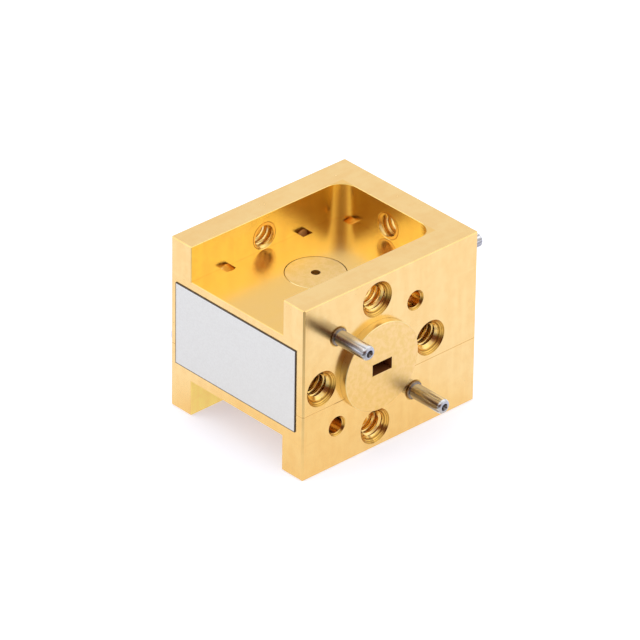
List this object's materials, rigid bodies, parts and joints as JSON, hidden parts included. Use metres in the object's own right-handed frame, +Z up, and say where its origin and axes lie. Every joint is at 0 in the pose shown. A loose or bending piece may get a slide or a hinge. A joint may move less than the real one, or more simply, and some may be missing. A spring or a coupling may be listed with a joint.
{
  "type": "waveguide circulator",
  "caption": "Gold plated waveguide junction circulator: a split block with pinned flanges on its sides, pockets above and below, and a flush magnet cover.",
  "frame": {"origin": "on the plane that the feet stand on, midway between the pin tips of ports 1 and 2, and midway between the label face and the pin tips of port 3", "axes": "+X out of port 1, +Y out of port 3, +Z up; port 2 faces -X and the label faces -Y"},
  "size_m": [0.0278, 0.0273, 0.0191],
  "materials": {
    "gold_plating": "satin gold plating, brighter in the pockets",
    "turned_gold": "fine turned gold plating",
    "pin_steel": "polished stainless steel",
    "screw_steel": "plain stainless steel",
    "magnet": "bare sintered magnet",
    "ferrite": "ground ferrite",
    "spacer": "white low-loss plastic",
    "label_film": "pale film label with a thin dark edge line, no text"
  },
  "bodies": {
    "root": {"upper_block": "gold_plating", "lower_block": "gold_plating", "port_1_boss": "turned_gold", "port_2_boss": "turned_gold", "port_3_boss": "turned_gold", "port_1_upper_pin": "pin_steel", "port_1_lower_pin": "pin_steel", "port_2_upper_pin": "pin_steel", "port_2_lower_pin": "pin_steel", "port_3_upper_pin": "pin_steel", "port_3_lower_pin": "pin_steel", "upper_magnet_cover": "turned_gold", "upper_magnet": "magnet", "lower_magnet": "magnet", "lower_magnet_cover": "turned_gold", "matching_pedestal": "gold_plating", "ferrite_post": "ferrite", "dielectric_spacer": "spacer", "block_screws": "screw_steel", "block_dowels": "screw_steel", "label": "label_film"}
  },
  "joints": []
}
